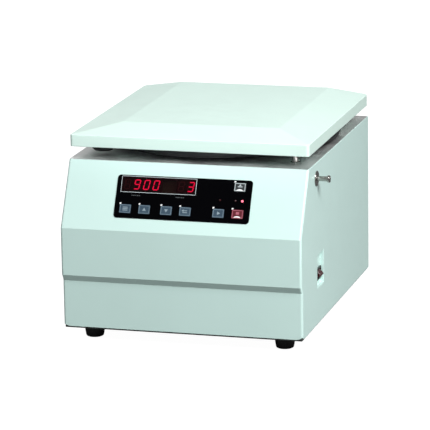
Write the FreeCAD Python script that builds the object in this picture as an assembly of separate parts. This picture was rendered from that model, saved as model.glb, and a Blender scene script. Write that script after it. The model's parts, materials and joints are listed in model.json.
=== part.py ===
import FreeCAD, Part
import math
import os

from FreeCAD import Placement, Rotation, Vector

# Bench-top laboratory centrifuge: a sheet-steel casing with a sloped control panel, a flat lid on
# two rear hinges, and a motor-driven angle rotor in a round chamber.
# Millimetres. +X right, +Y to the back, +Z up. The origin is on the bench, under the middle of the casing.

# ---------------------------------------------------------------- driving dimensions
BODY_W = 310.0            # casing width
BODY_D = 370.0            # casing depth
DECK_Z = 226.0            # top of the casing
FOOT_H = 17.0             # height of the rubber feet
SHEET = 1.5               # casing sheet thickness
FRONT_SETBACK = 42.0      # how far the deck's front edge stands behind the front
BREAK_Z = 147.0           # fold between the upright front and the sloped panel
GROOVE_TOP_Z = 86.5       # upper edge of the step across the front
GROOVE_BOTTOM_Z = 78.5    # lower edge of the step
GROOVE_DEPTH = 4.8        # how far the lower front stands back
CASING_BOTTOM_Z = 19.2    # lower edge of the casing
EDGE_R = 3.0              # rounding of the casing's front corners
CORNER_RUN = 9.0          # the lower front corners curve up over this run
CORNER_RISE = 3.6         # and by this much
DECK_SKIN = 0.5           # bright metal cover sheet on the deck

LID_W = 309.0
LID_FRONT_Y = -140.0
LID_REAR_Y = 183.0
LID_RIM_Z = 241.5         # lower edge of the lid's rim
LID_RIM_H = 15.0          # height of the rim
LID_TOP_Z = 263.5         # flat top
LID_TOP_W = 204.0         # width of the flat top
LID_TOP_FRONT_Y = -81.0   # front edge of the flat top
LID_SHEET = 1.2

CHAMBER_Y = 25.0          # rotor axis, behind the middle of the casing
OPENING_R = 133.0         # round opening in the deck
GASKET_R = 137.0          # outside of the gasket round it
CHAMBER_R = 130.0         # inside of the bowl
CHAMBER_FLOOR_Z = 104.0
BOWL_SHEET = 1.0
LINER_R = 151.0           # black liner under the lid
LINER_Z = 229.5           # its lower face
BUMPER_X = -121.0         # rubber bumper under the lid
BUMPER_Y = -107.0

HINGE_Y = 178.0
HINGE_Z = 234.0
HINGE_X = 100.0           # each hinge's distance from the middle
PIN_R = 2.5
HINGE_FOOT_Y = 160.0      # front edge of the hinges' feet

PLACES = 6                # tube places in the rotor
TUBE_ANGLE = 30.0         # tube axis from the vertical
PLACE_R = 72.0            # radius of the circle the tube mouths stand on
PLACE_Z = 183.0           # height of that circle
SLEEVE_R = 16.5           # outside of a tube sleeve
SLEEVE_WALL = 1.0
SLEEVE_L = 76.0           # length below the rotor plate

LATCH_X = 128.0           # striker and bush
LATCH_Y = -105.0
BUSH_R = 5.4              # hole in the deck for the bush
BUSH_FLANGE_R = 6.2
NECK_R = 5.0              # hole in the side for the rod's escutcheon
ROD_Z = 207.0
ROD_R = 3.15
ROD_END_X = 172.5
ROD_PULL = 6.0            # travel of the pull rod

PANEL_W = 174.0           # control panel overlay
PANEL_H = 55.4
PANEL_U = -0.5            # its middle, sideways
PANEL_V = 44.8            # its middle, down the slope from the deck's edge
OVERLAY_T = 0.8
KEY_W = 14.6
KEY_H = 11.2
KEY_ROW_V = 60.7
KEY_TRAVEL = 0.4
KEYS = {                  # key name: sideways place, place down the slope
    "key_mode": (-73.4, KEY_ROW_V),
    "key_up": (-48.7, KEY_ROW_V),
    "key_down": (-20.4, KEY_ROW_V),
    "key_enter": (4.0, KEY_ROW_V),
    "key_start": (46.6, KEY_ROW_V),
    "key_stop": (71.2, KEY_ROW_V),
    "key_lid": (70.8, 26.3),
}
LEDS = ((47.0, 44.0), (66.7, 43.8), (75.5, 43.8))
WINDOW_U = (-81.6, 14.4)  # display window, left and right
WINDOW_V = (18.8, 38.8)   # top and bottom
DIGIT_PITCH = 12.4
DIGIT_V = 28.7

POCKET_Y = (-105.0, -68.5)    # recess for the power switch in the right side
POCKET_Z = (64.5, 108.5)
POCKET_DEPTH = 4.8
POCKET_SHEET = 1.2
ROCKER_Y = (-91.0, -73.0)     # hole for the power switch in the recess
ROCKER_Z = 79.3
ROCKER_TILT = 12.0            # the rocker stands tilted to one side in each position
FRAME_HALF_H = 7.8            # half the height of the switch's bezel
BEZEL_T = 2.0

INLET_X = 95.0
INLET_Z = 62.0
INLET_SCREWS = (-17.5, 17.5)

# ---------------------------------------------------------------- derived dimensions
HALF_W = BODY_W / 2
FRONT_Y = -BODY_D / 2
REAR_Y = BODY_D / 2
DECK_FRONT_Y = FRONT_Y + FRONT_SETBACK
INNER_X = HALF_W - SHEET
DECK_UNDER = DECK_Z - SHEET
SLOPE_DEG = math.degrees(math.atan2(DECK_Z - BREAK_Z, FRONT_SETBACK))
AXIS_X = Vector(1, 0, 0)
AXIS_Y = Vector(0, 1, 0)
AXIS_Z = Vector(0, 0, 1)


# ---------------------------------------------------------------- shape helpers
def box(x0, x1, y0, y1, z0, z1):
    return Part.makeBox(x1 - x0, y1 - y0, z1 - z0, Vector(x0, y0, z0))


def rod(start, axis, radius, length):
    return Part.makeCylinder(radius, length, Vector(*start), axis)


def ring(start, axis, outer, inner, length):
    return rod(start, axis, outer, length).cut(rod(start, axis, inner, length))


def polygon(points):
    corners = [Vector(*p) for p in points]
    return Part.Face(Part.makePolygon(corners + corners[:1]))


def side_prism(profile, x0, x1):
    """A (y, z) outline drawn out sideways from x0 to x1."""
    return polygon([(x0, y, z) for y, z in profile]).extrude(Vector(x1 - x0, 0, 0))


def turned(profile, x=0.0, y=CHAMBER_Y):
    """A (radius, z) outline turned about the vertical through (x, y)."""
    face = polygon([(x + r, y, z) for r, z in profile])
    return face.revolve(Vector(x, y, 0), AXIS_Z, 360)


def fuse(shapes):
    first, *rest = shapes
    return first.fuse(rest).removeSplitter() if rest else first


def rounded(shape, radius, wanted):
    """Round the straight edges for which wanted(middle, direction) holds."""
    picked = []
    for edge in shape.Edges:
        if len(edge.Vertexes) != 2:
            continue
        a, b = (v.Point for v in edge.Vertexes)
        run = b.sub(a)
        if run.Length > 1e-6 and wanted(a.add(b).multiply(0.5), run.normalize()):
            picked.append(edge)
    return shape.makeFillet(radius, picked)


def plate(x0, x1, y0, y1, z0, z1, corner):
    """A level plate with its four upright corners rounded."""
    return rounded(box(x0, x1, y0, y1, z0, z1), corner, lambda m, d: abs(d.z) > 0.99)


def at_angle(shape, degrees):
    """A copy turned about the rotor's axis."""
    copy = shape.copy()
    copy.rotate(Vector(0, CHAMBER_Y, 0), AXIS_Z, degrees)
    return copy


def on_slope(shape):
    """Move a shape drawn flat (x sideways, y up the slope, z outwards) onto the sloped panel."""
    copy = shape.copy()
    copy.Placement = Placement(Vector(0, DECK_FRONT_Y, DECK_Z), Rotation(AXIS_X, SLOPE_DEG))
    return copy


def screw(x, y, z, axis, head_r, head_h, shank_r, shank_l):
    """A pan-head screw: the head stands along axis from the point, the shank goes the other way."""
    point = Vector(x, y, z)
    head = Part.makeCylinder(head_r, head_h, point, axis)
    top = point.add(axis * head_h)
    head = head.makeChamfer(head_h * 0.3, [e for e in head.Edges if near_circle(e, top, head_r)])
    shank = Part.makeCylinder(shank_r, shank_l, point, axis * -1)
    slot_r = head_r * 0.45
    recess = Part.makeCone(slot_r * 0.5, slot_r, head_h * 0.6, point.add(axis * (head_h * 0.4)), axis)
    return head.fuse(shank).cut(recess).removeSplitter()


def near_circle(edge, centre, radius):
    curve = edge.Curve
    if not isinstance(curve, Part.Circle):
        return False
    return abs(curve.Radius - radius) < 1e-3 and curve.Center.distanceToPoint(centre) < 1e-3


# ---------------------------------------------------------------- casing
def casing_outline(inset):
    """The casing's (y, z) side outline, moved inwards by the sheet thickness where inset is 1."""
    t = SHEET * inset
    lean = t * math.tan(math.radians(SLOPE_DEG) / 2)
    groove_lean = t * 0.5
    low_y = FRONT_Y + GROOVE_DEPTH
    return [
        (low_y + t, CASING_BOTTOM_Z - 5 * inset),
        (low_y + t, GROOVE_BOTTOM_Z + groove_lean),
        (FRONT_Y + t, GROOVE_TOP_Z + groove_lean),
        (FRONT_Y + t, BREAK_Z - t * 0.25),
        (DECK_FRONT_Y + lean, DECK_Z - t),
        (REAR_Y + 5 * inset, DECK_Z - t),
        (REAR_Y + 5 * inset, CASING_BOTTOM_Z - 5 * inset),
    ]


def corner_cutters():
    """What comes off the front sheet and the side sheets so that the lower front corners curve up."""
    low_y = FRONT_Y + GROOVE_DEPTH
    z0 = CASING_BOTTOM_Z
    radius = (CORNER_RUN ** 2 + CORNER_RISE ** 2) / (2 * CORNER_RISE)
    cutters = []
    for side in (-1, 1):
        turn_x = side * (HALF_W - CORNER_RUN)
        edge_x = side * (HALF_W + 1)
        x0, x1 = sorted((turn_x, edge_x))
        block = box(x0, x1, low_y - 1, low_y + SHEET, z0 - 1, z0 + CORNER_RISE)
        cutters.append(block.cut(rod((turn_x, low_y - 2, z0 + radius), AXIS_Y, radius, SHEET + 4)))
        turn_y = low_y + CORNER_RUN
        x0, x1 = sorted((side * INNER_X, edge_x))
        block = box(x0, x1, low_y - 1, turn_y, z0 - 1, z0 + CORNER_RISE)
        cutters.append(block.cut(rod((x0 - 1, turn_y, z0 + radius), AXIS_X, radius, SHEET + 4)))
    return cutters


def on_front_corner(middle, direction):
    """True for the casing's outer edges between the front faces and the sides."""
    return abs(abs(middle.x) - HALF_W) < 1e-3 and middle.y < DECK_FRONT_Y + 1 and middle.z < DECK_Z - 1


def make_casing():
    outer = side_prism(casing_outline(0), -HALF_W, HALF_W)
    outer = rounded(outer, EDGE_R, on_front_corner)
    shell = outer.cut(side_prism(casing_outline(1), -INNER_X, INNER_X))
    shell = shell.cut(rod((0, CHAMBER_Y, DECK_UNDER - 1), AXIS_Z, OPENING_R, SHEET + 2))
    shell = shell.cut(rod((LATCH_X, LATCH_Y, DECK_UNDER - 1), AXIS_Z, BUSH_R, SHEET + 2))
    shell = shell.cut(rod((INNER_X - 1, LATCH_Y, ROD_Z), AXIS_X, NECK_R, SHEET + 2))
    shell = shell.cut(box(INNER_X - 1, HALF_W + 1, *POCKET_Y, *POCKET_Z))
    board = box(CUT_U[0], CUT_U[1], -CUT_V[1], -CUT_V[0], -6, 4)
    return shell.cut(corner_cutters()).cut(on_slope(board))


def make_deck_plate():
    """Thin bright sheet over the deck, cut round the gasket, the latch bush and the hinges' feet."""
    margin = 1.0
    sheet = plate(margin - HALF_W, HALF_W - margin, DECK_FRONT_Y + margin, REAR_Y - margin, DECK_Z,
                  DECK_Z + DECK_SKIN, 1.0)
    opening = rod((0, CHAMBER_Y, DECK_Z - 1), AXIS_Z, GASKET_R, 3)
    bush = rod((LATCH_X, LATCH_Y, DECK_Z - 1), AXIS_Z, BUSH_FLANGE_R, 3)
    notches = [box(x - HINGE_HALF, x + HINGE_HALF, HINGE_FOOT_Y, REAR_Y, DECK_Z - 1, DECK_Z + 2)
               for x in (-HINGE_X, HINGE_X)]
    return sheet.cut([opening, bush] + notches)


def make_rear_panel():
    y0 = REAR_Y - SHEET
    z0 = FOOT_H + SHEET
    panel = box(-INNER_X, INNER_X, y0, REAR_Y, z0, DECK_UNDER)
    lips = [box(-INNER_X, -INNER_X + SHEET, y0 - 12, y0, z0 + 14, DECK_UNDER - 14),
            box(INNER_X - SHEET, INNER_X, y0 - 12, y0, z0 + 14, DECK_UNDER - 14)]
    panel = fuse([panel] + lips)
    slots = []
    for row in range(6):
        for column in range(5):
            x = -120 + column * 34
            z = 105 + row * 11
            slots.append(box(x, x + 26, y0 - 1, REAR_Y + 1, z, z + 4))
    inlet = box(INLET_X - 13.6, INLET_X + 13.6, y0 - 1, REAR_Y + 1, INLET_Z - 23.5, INLET_Z + 12)
    holes = [rod((x, y0 - 1, z), AXIS_Y, 1.75, SHEET + 2) for x, z in REAR_SCREWS]
    holes += [rod((INLET_X + dx, y0 - 1, INLET_Z), AXIS_Y, 1.5, SHEET + 2) for dx in INLET_SCREWS]
    return panel.cut(slots + [inlet] + holes)


REAR_SCREWS = [(x, z) for x in (-140.0, 140.0) for z in (32.0, 120.0, 212.0)]
FOOT_STEP_Z = 6.0         # the screw's head bears here, up inside the foot
FEET = [(x, y) for y in (-149.5, 150.0) for x in (-124.2, 124.2)]


def make_base_plate():
    low = FOOT_H
    y0 = FRONT_Y + GROOVE_DEPTH + SHEET
    floor = box(-INNER_X, INNER_X, y0, REAR_Y, low, low + SHEET)
    front = box(-INNER_X, INNER_X, y0, y0 + SHEET, low, low + 14)
    left = box(-INNER_X, -INNER_X + SHEET, y0, REAR_Y - SHEET, low, low + 14)
    right = box(INNER_X - SHEET, INNER_X, y0, REAR_Y - SHEET, low, low + 14)
    slots = [box(-40, 40, y - 2, y + 2, low - 1, low + 4) for y in range(-120, -60, 12)]
    holes = [rod((x, y, low - 1), AXIS_Z, 3.1, 5) for x, y in FEET]
    return fuse([floor, front, left, right]).cut(slots + holes)


def make_feet():
    feet = []
    for x, y in FEET:
        foot = turned([(0, 0), (9.6, 0), (10.9, 0.7), (11.5, 2.2), (12.4, 8), (13.4, FOOT_H), (0, FOOT_H)],
                      x, y)
        hole = rod((x, y, FOOT_STEP_Z), AXIS_Z, 3.1, FOOT_H)
        head_room = rod((x, y, -1.0), AXIS_Z, 5.6, FOOT_STEP_Z + 1)
        feet.append(foot.cut(hole).cut(head_room))
    return Part.makeCompound(feet)


def make_foot_screws():
    """A screw up through each foot, with its nut on the chassis floor."""
    sets = []
    for x, y in FEET:
        shank = rod((x, y, FOOT_STEP_Z), AXIS_Z, 3.0, FOOT_H + SHEET)
        head = rod((x, y, FOOT_STEP_Z - 3.5), AXIS_Z, 5.2, 3.5)
        nut = hexagon(x, y, FOOT_H + SHEET, 5.0, 5.8)
        sets.append(fuse([head, shank, nut]))
    return Part.makeCompound(sets)


def hexagon(x, y, z, height, radius):
    corners = [(x + radius * math.cos(math.radians(60 * k)), y + radius * math.sin(math.radians(60 * k)), z)
               for k in range(6)]
    return polygon(corners).extrude(Vector(0, 0, height))


def make_casing_screws():
    back = [screw(x, REAR_Y, z, AXIS_Y, 3.4, 2.0, 1.7, 8.0) for x, z in REAR_SCREWS]
    return Part.makeCompound(back)


# ---------------------------------------------------------------- chamber
def make_bowl():
    """Deep-drawn bowl: a flange under the deck, a straight wall, a rounded corner and a floor."""
    rim_z = DECK_UNDER
    corner = 14.0
    out_r = CHAMBER_R + BOWL_SHEET
    flange_r = OPENING_R + 9.0
    low_z = CHAMBER_FLOOR_Z - BOWL_SHEET
    steps = 6
    turn = [math.radians(90 * k / steps) for k in range(steps + 1)]
    centre_r = CHAMBER_R - corner
    centre_z = CHAMBER_FLOOR_Z + corner
    inner = [(centre_r + corner * math.cos(a), centre_z - corner * math.sin(a)) for a in turn]
    grow = corner + BOWL_SHEET
    outer = [(centre_r + grow * math.cos(a), centre_z - grow * math.sin(a)) for a in turn]
    profile = [(CHAMBER_R, rim_z)] + inner + [(24.0, CHAMBER_FLOOR_Z), (24.0, low_z)]
    profile += outer[::-1] + [(out_r, rim_z - BOWL_SHEET), (flange_r, rim_z - BOWL_SHEET)]
    profile += [(flange_r, rim_z)]
    return turned(profile)


def make_gasket():
    """Rubber edging gripped round the deck's opening."""
    inner = OPENING_R - 2.0
    outer = GASKET_R
    top = DECK_Z + 1.7
    return turned([(inner, DECK_UNDER), (OPENING_R, DECK_UNDER), (OPENING_R, DECK_Z), (outer, DECK_Z),
                   (outer, top - 0.7), (outer - 0.8, top), (inner + 0.8, top), (inner, top - 0.7)])


def make_boot():
    """Rubber seal closing the bowl's floor round the spindle."""
    low = CHAMBER_FLOOR_Z - BOWL_SHEET
    return turned([(20.0, low - 3), (28.0, low - 3), (28.0, low), (24.0, low), (24.0, CHAMBER_FLOOR_Z),
                   (28.0, CHAMBER_FLOOR_Z), (28.0, CHAMBER_FLOOR_Z + 1.5), (22.0, CHAMBER_FLOOR_Z + 4),
                   (17.0, CHAMBER_FLOOR_Z + 7), (15.5, CHAMBER_FLOOR_Z + 6), (20.0, CHAMBER_FLOOR_Z)])


# ---------------------------------------------------------------- motor
MOTOR_R = 44.0
MOTOR_LOW_Z = 30.0
PLATE_Z = 92.0            # underside of the motor plate
PLATE_T = 4.0
SHAFT_R = 6.0
PILLAR = 62.0             # each isolator's distance from the axis, along x and y
PILLAR_TOP = 66.0
BEARING_R = 16.0
BEARING_H = 9.0
UPPER_BEARING_Z = PLATE_Z - BEARING_H
LOWER_BEARING_Z = MOTOR_LOW_Z + 3.0
PILLARS = [(sx * PILLAR, CHAMBER_Y + sy * PILLAR) for sx in (-1, 1) for sy in (-1, 1)]


def make_motor_plate():
    disc = plate(-78, 78, CHAMBER_Y - 78, CHAMBER_Y + 78, PLATE_Z, PLATE_Z + PLATE_T, 16)
    middle = rod((0, CHAMBER_Y, PLATE_Z - 1), AXIS_Z, SHAFT_R + 3, PLATE_T + 2)
    holes = [rod((x, y, PLATE_Z - 1), AXIS_Z, 3.1, PLATE_T + 2) for x, y in PILLARS]
    return disc.cut([middle] + holes)


def make_isolators():
    """Rubber mounts with a waist, each with its stud and nut through the motor plate."""
    mounts = []
    middle_z = (PILLAR_TOP + PLATE_Z) / 2
    for x, y in PILLARS:
        outline = [(0, PILLAR_TOP), (12, PILLAR_TOP), (9.5, middle_z), (12, PLATE_Z), (0, PLATE_Z)]
        rubber = turned(outline, x, y)
        stud = rod((x, y, PLATE_Z), AXIS_Z, 3.0, PLATE_T)
        nut = hexagon(x, y, PLATE_Z + PLATE_T, 5.0, 5.8)
        mounts.append(fuse([rubber, stud, nut]))
    return Part.makeCompound(mounts)


def make_pillars():
    low = FOOT_H + SHEET
    return Part.makeCompound([turned([(0, low), (15, low), (15, low + 3), (8, low + 3), (8, PILLAR_TOP),
                                      (0, PILLAR_TOP)], x, y) for x, y in PILLARS])


def make_motor_housing():
    """Cast housing with cooling ribs, hung from the motor plate and closed at the bottom by its cap."""
    low = MOTOR_LOW_Z + 12
    seat = BEARING_R
    wall = turned([(MOTOR_R - 3, low), (MOTOR_R, low), (MOTOR_R, PLATE_Z), (seat, PLATE_Z),
                   (seat, UPPER_BEARING_Z), (MOTOR_R - 3, UPPER_BEARING_Z)])
    ribs = []
    for k in range(16):
        rib = box(MOTOR_R - 1, MOTOR_R + 4, CHAMBER_Y - 1, CHAMBER_Y + 1, low + 4, PLATE_Z)
        ribs.append(at_angle(rib, 360 * k / 16 + 11.25))
    return fuse([wall] + ribs)


def make_motor_cap():
    low = MOTOR_LOW_Z
    top = low + 12
    return turned([(SHAFT_R + 1.5, low), (MOTOR_R - 4, low), (MOTOR_R, low + 4), (MOTOR_R, top),
                   (BEARING_R, top), (BEARING_R, LOWER_BEARING_Z), (SHAFT_R + 1.5, LOWER_BEARING_Z)])


def make_stator():
    low = MOTOR_LOW_Z + 16
    high = UPPER_BEARING_Z - 4
    coil_in = 27.0
    coil_out = 38.0
    return turned([(24.5, low + 8), (coil_in, low + 8), (coil_in, low), (coil_out, low), (coil_out, low + 8),
                   (MOTOR_R - 3, low + 8), (MOTOR_R - 3, high - 8), (coil_out, high - 8), (coil_out, high),
                   (coil_in, high), (coil_in, high - 8), (24.5, high - 8)])


def make_bearings():
    """Two sealed ball bearings with a shallow groove in each face over the seal."""
    seals = []
    bore = SHAFT_R + 0.05
    for z in (UPPER_BEARING_Z, LOWER_BEARING_Z):
        top = z + BEARING_H
        seals.append(turned([(bore, z), (9, z), (9.4, z + 0.6), (12.6, z + 0.6), (13, z), (BEARING_R, z),
                             (BEARING_R, top), (13, top), (12.6, top - 0.6), (9.4, top - 0.6), (9, top),
                             (bore, top)]))
    return Part.makeCompound(seals)


def make_armature():
    low = MOTOR_LOW_Z + 22
    high = UPPER_BEARING_Z - 10
    ends, core = 21.0, 23.9
    return turned([(SHAFT_R, low), (ends, low), (ends, low + 3), (core, low + 3), (core, high - 3),
                   (ends, high - 3), (ends, high), (SHAFT_R, high)])


# ---------------------------------------------------------------- rotor
TAN_TUBE = math.tan(math.radians(TUBE_ANGLE))
DISH_T = 5.0 / math.cos(math.radians(TUBE_ANGLE))
HUB_R = 22.0
HUB_LOW_Z = 132.0
SEAT_R = 8.0
DISH_R = 112.0
FLANGE_T = 1.5
FLANGE_R = 19.0


def dish_z(radius):
    """Height of the rotor plate's upper face, which stands square to the tubes."""
    return PLACE_Z + (radius - PLACE_R) * TAN_TUBE


HUB_TOP_Z = dish_z(HUB_R) + 8.0


def at_place(shape, k):
    """Move a shape drawn upright, with its mouth at the origin, to tube place k."""
    copy = shape.copy()
    copy.Placement = Placement(Vector(PLACE_R, CHAMBER_Y, PLACE_Z), Rotation(AXIS_Y, -TUBE_ANGLE))
    return at_angle(copy, 360 * k / PLACES)


def make_spindle():
    top = HUB_TOP_Z + 10
    return turned([(0, LOWER_BEARING_Z), (SHAFT_R, LOWER_BEARING_Z), (SHAFT_R, 112), (10, 118),
                   (12, HUB_LOW_Z - 4), (12, HUB_LOW_Z), (SEAT_R, HUB_LOW_Z), (SEAT_R, HUB_TOP_Z),
                   (5, HUB_TOP_Z), (5, top - 1), (4, top), (0, top)])


def make_rotor_plate():
    """Cast dish with a hub and a stiffening rim, drilled square to its face for the sleeves."""
    rim = DISH_R - 4
    rim_top = dish_z(rim) - DISH_T
    dish = turned([(SEAT_R, HUB_LOW_Z), (HUB_R, HUB_LOW_Z), (HUB_R + 3, dish_z(HUB_R) - DISH_T),
                   (rim, rim_top), (rim, rim_top - 3), (DISH_R, rim_top - 3),
                   (DISH_R, dish_z(DISH_R)), (HUB_R, dish_z(HUB_R)), (HUB_R, HUB_TOP_Z - 1),
                   (HUB_R - 1, HUB_TOP_Z), (SEAT_R, HUB_TOP_Z)])
    hole = rod((0, 0, -20), AXIS_Z, SLEEVE_R, 40)
    spot_face = rod((0, 0, 0), AXIS_Z, FLANGE_R, 20)
    cutter = hole.fuse(spot_face)
    return dish.cut([at_place(cutter, k) for k in range(PLACES)])


def make_sleeves():
    """A flanged metal sleeve in each place, with a rounded closed end."""
    inner = SLEEVE_R - SLEEVE_WALL
    low = -SLEEVE_L
    floor = low + 1.5
    profile = [(inner, FLANGE_T), (FLANGE_R, FLANGE_T), (FLANGE_R, 0), (SLEEVE_R, 0), (SLEEVE_R, low + 6),
               (SLEEVE_R - 2, low + 2), (SLEEVE_R - 6, low), (0, low), (0, floor), (SLEEVE_R - 6.5, floor),
               (inner - 1.7, low + 3), (inner, low + 6.5)]
    sleeve = turned(profile, 0, 0)
    return Part.makeCompound([at_place(sleeve, k) for k in range(PLACES)])


def make_rotor_nut():
    """Domed clamping nut with a fluted grip."""
    low = HUB_TOP_Z
    nut = turned([(5, low), (15, low), (15, low + 11), (12, low + 15), (6, low + 17), (0, low + 17),
                  (0, low + 10), (5, low + 10)])
    flutes = [at_angle(rod((16.5, CHAMBER_Y, low + 2), AXIS_Z, 3, 16), 45 * k) for k in range(8)]
    return nut.cut(flutes)


# ---------------------------------------------------------------- lid
def lid_block(inset):
    """The lid's solid outline: a rim under a raised top that slopes at the front and both sides."""
    t = LID_SHEET * inset
    half = LID_W / 2 - t
    top_half = LID_TOP_W / 2 - t * 0.4
    rim_top = LID_RIM_Z + LID_RIM_H - t
    front, rear = LID_FRONT_Y + t, LID_REAR_Y - t
    top_front = LID_TOP_FRONT_Y + t * 0.4
    loops = []
    for w, y0, z in ((half, front, rim_top), (top_half, top_front, LID_TOP_Z - t)):
        corners = [Vector(-w, y0, z), Vector(w, y0, z), Vector(w, rear, z), Vector(-w, rear, z)]
        loops.append(Part.makePolygon(corners + corners[:1]))
    crown = Part.makeLoft(loops, True, True)
    rim = box(-half, half, front, rear, LID_RIM_Z - inset, rim_top)
    post = plate(-half, half, front, rear, LID_RIM_Z - inset, LID_TOP_Z + 1, 4.0 - 1.2 * inset)
    return rim.fuse(crown).removeSplitter().common(post)


def make_lid_shell():
    return lid_block(0).cut(lid_block(1))


def make_lid_inner_plate():
    t = LID_SHEET
    half = LID_W / 2 - t
    return plate(-half, half, LID_FRONT_Y + t, LID_REAR_Y - t, LID_RIM_Z, LID_RIM_Z + 1.2, 2.8)


def make_lid_liner():
    """Dished plastic liner over the chamber, hollow against the lid's inner plate."""
    r, z, top = LINER_R, LINER_Z, LID_RIM_Z
    return turned([(0, z), (r - 6, z), (r - 1.5, z + 1.5), (r, z + 6), (r, top), (r - 6, top), (r - 6, z + 3),
                   (0, z + 3)])


def make_lid_bumper():
    top = LID_RIM_Z
    return turned([(0, top - 9.5), (11.5, top - 9.5), (14, top - 7), (14, top - 2), (12.5, top), (0, top)],
                  BUMPER_X, BUMPER_Y)


def make_striker():
    """Pin under the lid: a foot against the plate, a shank, a neck for the catch and a cone tip."""
    top = LID_RIM_Z
    return turned([(0, 212.5), (1.5, 212.5), (4.0, 215.5), (4.0, 216.5), (2.8, 217), (2.8, 220), (4.0, 220.5),
                   (4.0, top - 3), (7.5, top - 3), (7.5, top), (0, top)], LATCH_X, LATCH_Y)


KNUCKLE_R = 4.6
HINGE_HALF = 22.0         # half the width of a hinge
LEAF_HALF = 9.0           # half the width of the lid's knuckle


def make_hinge_base(side):
    x = side * HINGE_X
    foot = box(x - HINGE_HALF, x + HINGE_HALF, HINGE_FOOT_Y, REAR_Y - 1, DECK_Z, DECK_Z + 2)
    parts = [foot]
    for x0, x1 in ((x - HINGE_HALF, x - LEAF_HALF - 0.4), (x + LEAF_HALF + 0.4, x + HINGE_HALF)):
        web = box(x0, x1, HINGE_Y - KNUCKLE_R, HINGE_Y + KNUCKLE_R, DECK_Z, HINGE_Z)
        parts += [web, rod((x0, HINGE_Y, HINGE_Z), AXIS_X, KNUCKLE_R, x1 - x0)]
    base = fuse(parts)
    base = base.cut(rod((x - HINGE_HALF - 1, HINGE_Y, HINGE_Z), AXIS_X, PIN_R + 0.05, 2 * HINGE_HALF + 2))
    heads = [rod((x + dx, 165.5, DECK_Z + 2), AXIS_Z, 3.2, 1.6) for dx in (-14, 14)]
    return base.fuse(heads).removeSplitter()


def make_hinge_leaf(side):
    x = side * HINGE_X
    top = LID_RIM_Z
    leaf = box(x - LEAF_HALF, x + LEAF_HALF, 150, HINGE_Y + KNUCKLE_R, top - 2.5, top)
    web = box(x - LEAF_HALF, x + LEAF_HALF, HINGE_Y - KNUCKLE_R, HINGE_Y + KNUCKLE_R, HINGE_Z, top)
    knuckle = rod((x - LEAF_HALF, HINGE_Y, HINGE_Z), AXIS_X, KNUCKLE_R, 2 * LEAF_HALF)
    bore = rod((x - LEAF_HALF - 1, HINGE_Y, HINGE_Z), AXIS_X, PIN_R, 2 * LEAF_HALF + 2)
    return fuse([leaf, web, knuckle]).cut(bore)


def make_hinge_pins():
    pins = []
    for side in (-1, 1):
        start = side * HINGE_X - HINGE_HALF - 1.5
        pin = rod((start, HINGE_Y, HINGE_Z), AXIS_X, PIN_R, 2 * HINGE_HALF + 3)
        pins.append(pin.makeChamfer(0.5, [e for e in pin.Edges if isinstance(e.Curve, Part.Circle)]))
    return Part.makeCompound(pins)


# ---------------------------------------------------------------- lid latch
def make_latch_bush():
    """Metal ring in the deck that the striker drops into."""
    bore = BUSH_R - 0.4
    top = DECK_Z + 1.2
    low = DECK_UNDER - 1
    profile = [(bore, low), (BUSH_R, low), (BUSH_R, DECK_Z), (BUSH_FLANGE_R, DECK_Z),
               (BUSH_FLANGE_R, top - 0.5), (BUSH_FLANGE_R - 0.5, top), (bore, top)]
    return turned(profile, LATCH_X, LATCH_Y)


def make_latch_bracket():
    """Folded bracket under the deck that guides the slide and the rod."""
    x0, x1 = 104.0, 150.0
    y0, y1 = LATCH_Y - 13, LATCH_Y + 13
    z0 = 200.0
    walls = [box(x0, x1, y0, y0 + 1.5, z0, DECK_UNDER), box(x0, x1, y1 - 1.5, y1, z0, DECK_UNDER),
             box(x0, x0 + 1.5, y0, y1, z0, DECK_UNDER), box(x1 - 1.5, x1, y0, y1, z0, DECK_UNDER - 4),
             box(x0, x1, y0 - 8, y0 + 1.5, DECK_UNDER - 1.5, DECK_UNDER),
             box(x0, x1, y1 - 1.5, y1 + 8, DECK_UNDER - 1.5, DECK_UNDER)]
    return fuse(walls).cut(rod((x0 - 1, LATCH_Y, ROD_Z), AXIS_X, ROD_R + 0.4, x1 - x0 + 2))


SLIDE_LOW_Z = 217.2
COLLAR_X = 133.0


def make_latch_slide():
    """Catch plate with a long hole round the striker and a tab down to the rod."""
    t = 2.0
    sheet = box(110.5, 138, LATCH_Y - 9, LATCH_Y + 9, SLIDE_LOW_Z, SLIDE_LOW_Z + t)
    play = 5.2
    hole = box(LATCH_X - play - ROD_PULL, LATCH_X + play, LATCH_Y - play, LATCH_Y + play, SLIDE_LOW_Z - 1,
               SLIDE_LOW_Z + t + 1)
    tab = box(110.5, 112.5, LATCH_Y - 9, LATCH_Y + 9, ROD_Z - 5, SLIDE_LOW_Z + t)
    bore = rod((110, LATCH_Y, ROD_Z), AXIS_X, 2.2, 4)
    return fuse([sheet.cut(hole), tab]).cut(bore)


def make_pull_rod():
    """Rod with a turned head outside, a collar for the spring and a riveted end in the slide's tab."""
    shaft = rod((112.5, LATCH_Y, ROD_Z), AXIS_X, ROD_R, ROD_END_X - 3 - 112.5)
    spigot = rod((110.5, LATCH_Y, ROD_Z), AXIS_X, 2.2, 3)
    rivet = rod((109.3, LATCH_Y, ROD_Z), AXIS_X, 3.2, 1.2)
    collar = rod((COLLAR_X, LATCH_Y, ROD_Z), AXIS_X, 4.6, 2)
    head = rod((ROD_END_X - 3.4, LATCH_Y, ROD_Z), AXIS_X, 4.6, 3.4)
    head = head.makeChamfer(0.6, [e for e in head.Edges if isinstance(e.Curve, Part.Circle)])
    return fuse([shaft, spigot, rivet, collar, head])


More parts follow.
